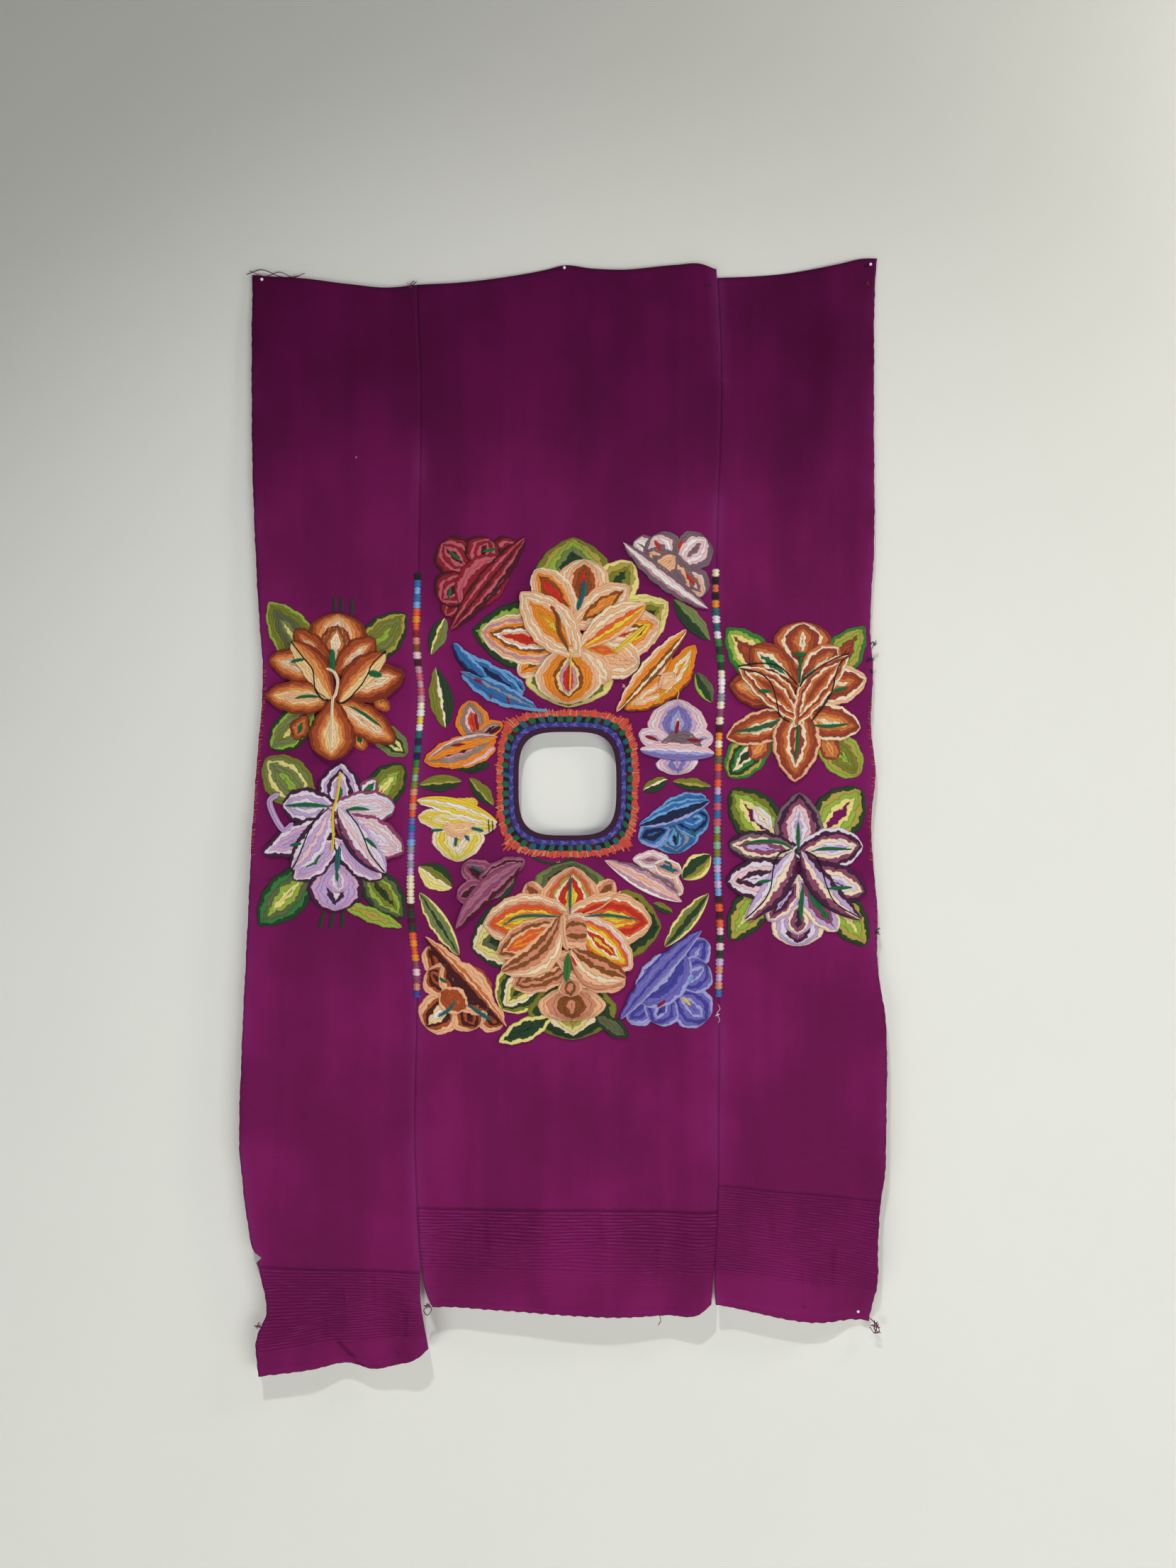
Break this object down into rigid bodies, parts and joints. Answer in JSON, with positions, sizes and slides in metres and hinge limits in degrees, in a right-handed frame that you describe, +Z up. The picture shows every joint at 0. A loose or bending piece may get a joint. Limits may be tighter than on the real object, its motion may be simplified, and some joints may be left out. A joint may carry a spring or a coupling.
{
  "type": "opened-out huipil blouse on wall pins",
  "caption": "Handwoven cotton huipil blouse opened out flat on wall pins, with a bound neck opening, thick flower embroidery, knotted seam joins and ribbed hems.",
  "frame": {"origin": "where the top centre pin enters the wall", "axes": "+Z up the wall, +X to the right as the front of the cloth is seen, -Y out from the wall towards the viewer; the wall is the plane y = 0"},
  "size_m": [1.0265, 0.0561, 1.7758],
  "materials": {
    "cotton": "handwoven purple cotton with a soft nap",
    "petal_thread": "thick satin-stitched mercerised thread in many colours",
    "leaf_thread": "thick satin-stitched mercerised thread in greens",
    "randa_thread": "knotted silky thread in many colours",
    "crochet_thread": "crocheted purple and blue thread",
    "block_thread": "green and dark block stitches",
    "coral_thread": "coral buttonhole stitches",
    "pin_enamel": "white enamel"
  },
  "bodies": {
    "root": {"left_panel": "cotton", "centre_panel": "cotton", "right_panel": "cotton", "left_randa": "randa_thread", "right_randa": "randa_thread", "neck_crochet": "crochet_thread", "neck_blocks": "block_thread", "neck_buttonhole": "coral_thread", "flower_left_upper": "petal_thread", "flower_left_lower": "petal_thread", "flower_right_upper": "petal_thread", "flower_right_lower": "petal_thread", "flower_centre_upper": "petal_thread", "flower_centre_lower": "petal_thread", "flower_corner_upper_left": "petal_thread", "flower_corner_upper_right": "petal_thread", "flower_corner_lower_left": "petal_thread", "flower_corner_lower_right": "petal_thread", "flower_neck_blue_left": "petal_thread", "flower_neck_orange": "petal_thread", "flower_neck_yellow": "petal_thread", "flower_neck_mauve": "petal_thread", "flower_neck_golden": "petal_thread", "flower_neck_lavender": "petal_thread", "flower_neck_blue_right": "petal_thread", "flower_neck_pink": "petal_thread", "leaf_upper_left": "leaf_thread", "leaf_left": "leaf_thread", "leaf_neck_left": "leaf_thread", "leaf_neck_left_inner": "leaf_thread", "leaf_lower_left_outer": "leaf_thread", "leaf_lower_left": "leaf_thread", "leaf_upper_right": "leaf_thread", "leaf_right": "leaf_thread", "leaf_neck_right_inner": "leaf_thread", "leaf_neck_right": "leaf_thread", "leaf_lower_right_outer": "leaf_thread", "leaf_lower_right_inner": "leaf_thread", "leaf_lower_right": "leaf_thread", "pin_top_left": "pin_enamel", "pin_top_centre": "pin_enamel", "pin_top_right": "pin_enamel", "pin_bottom_right": "pin_enamel"}
  },
  "joints": []
}
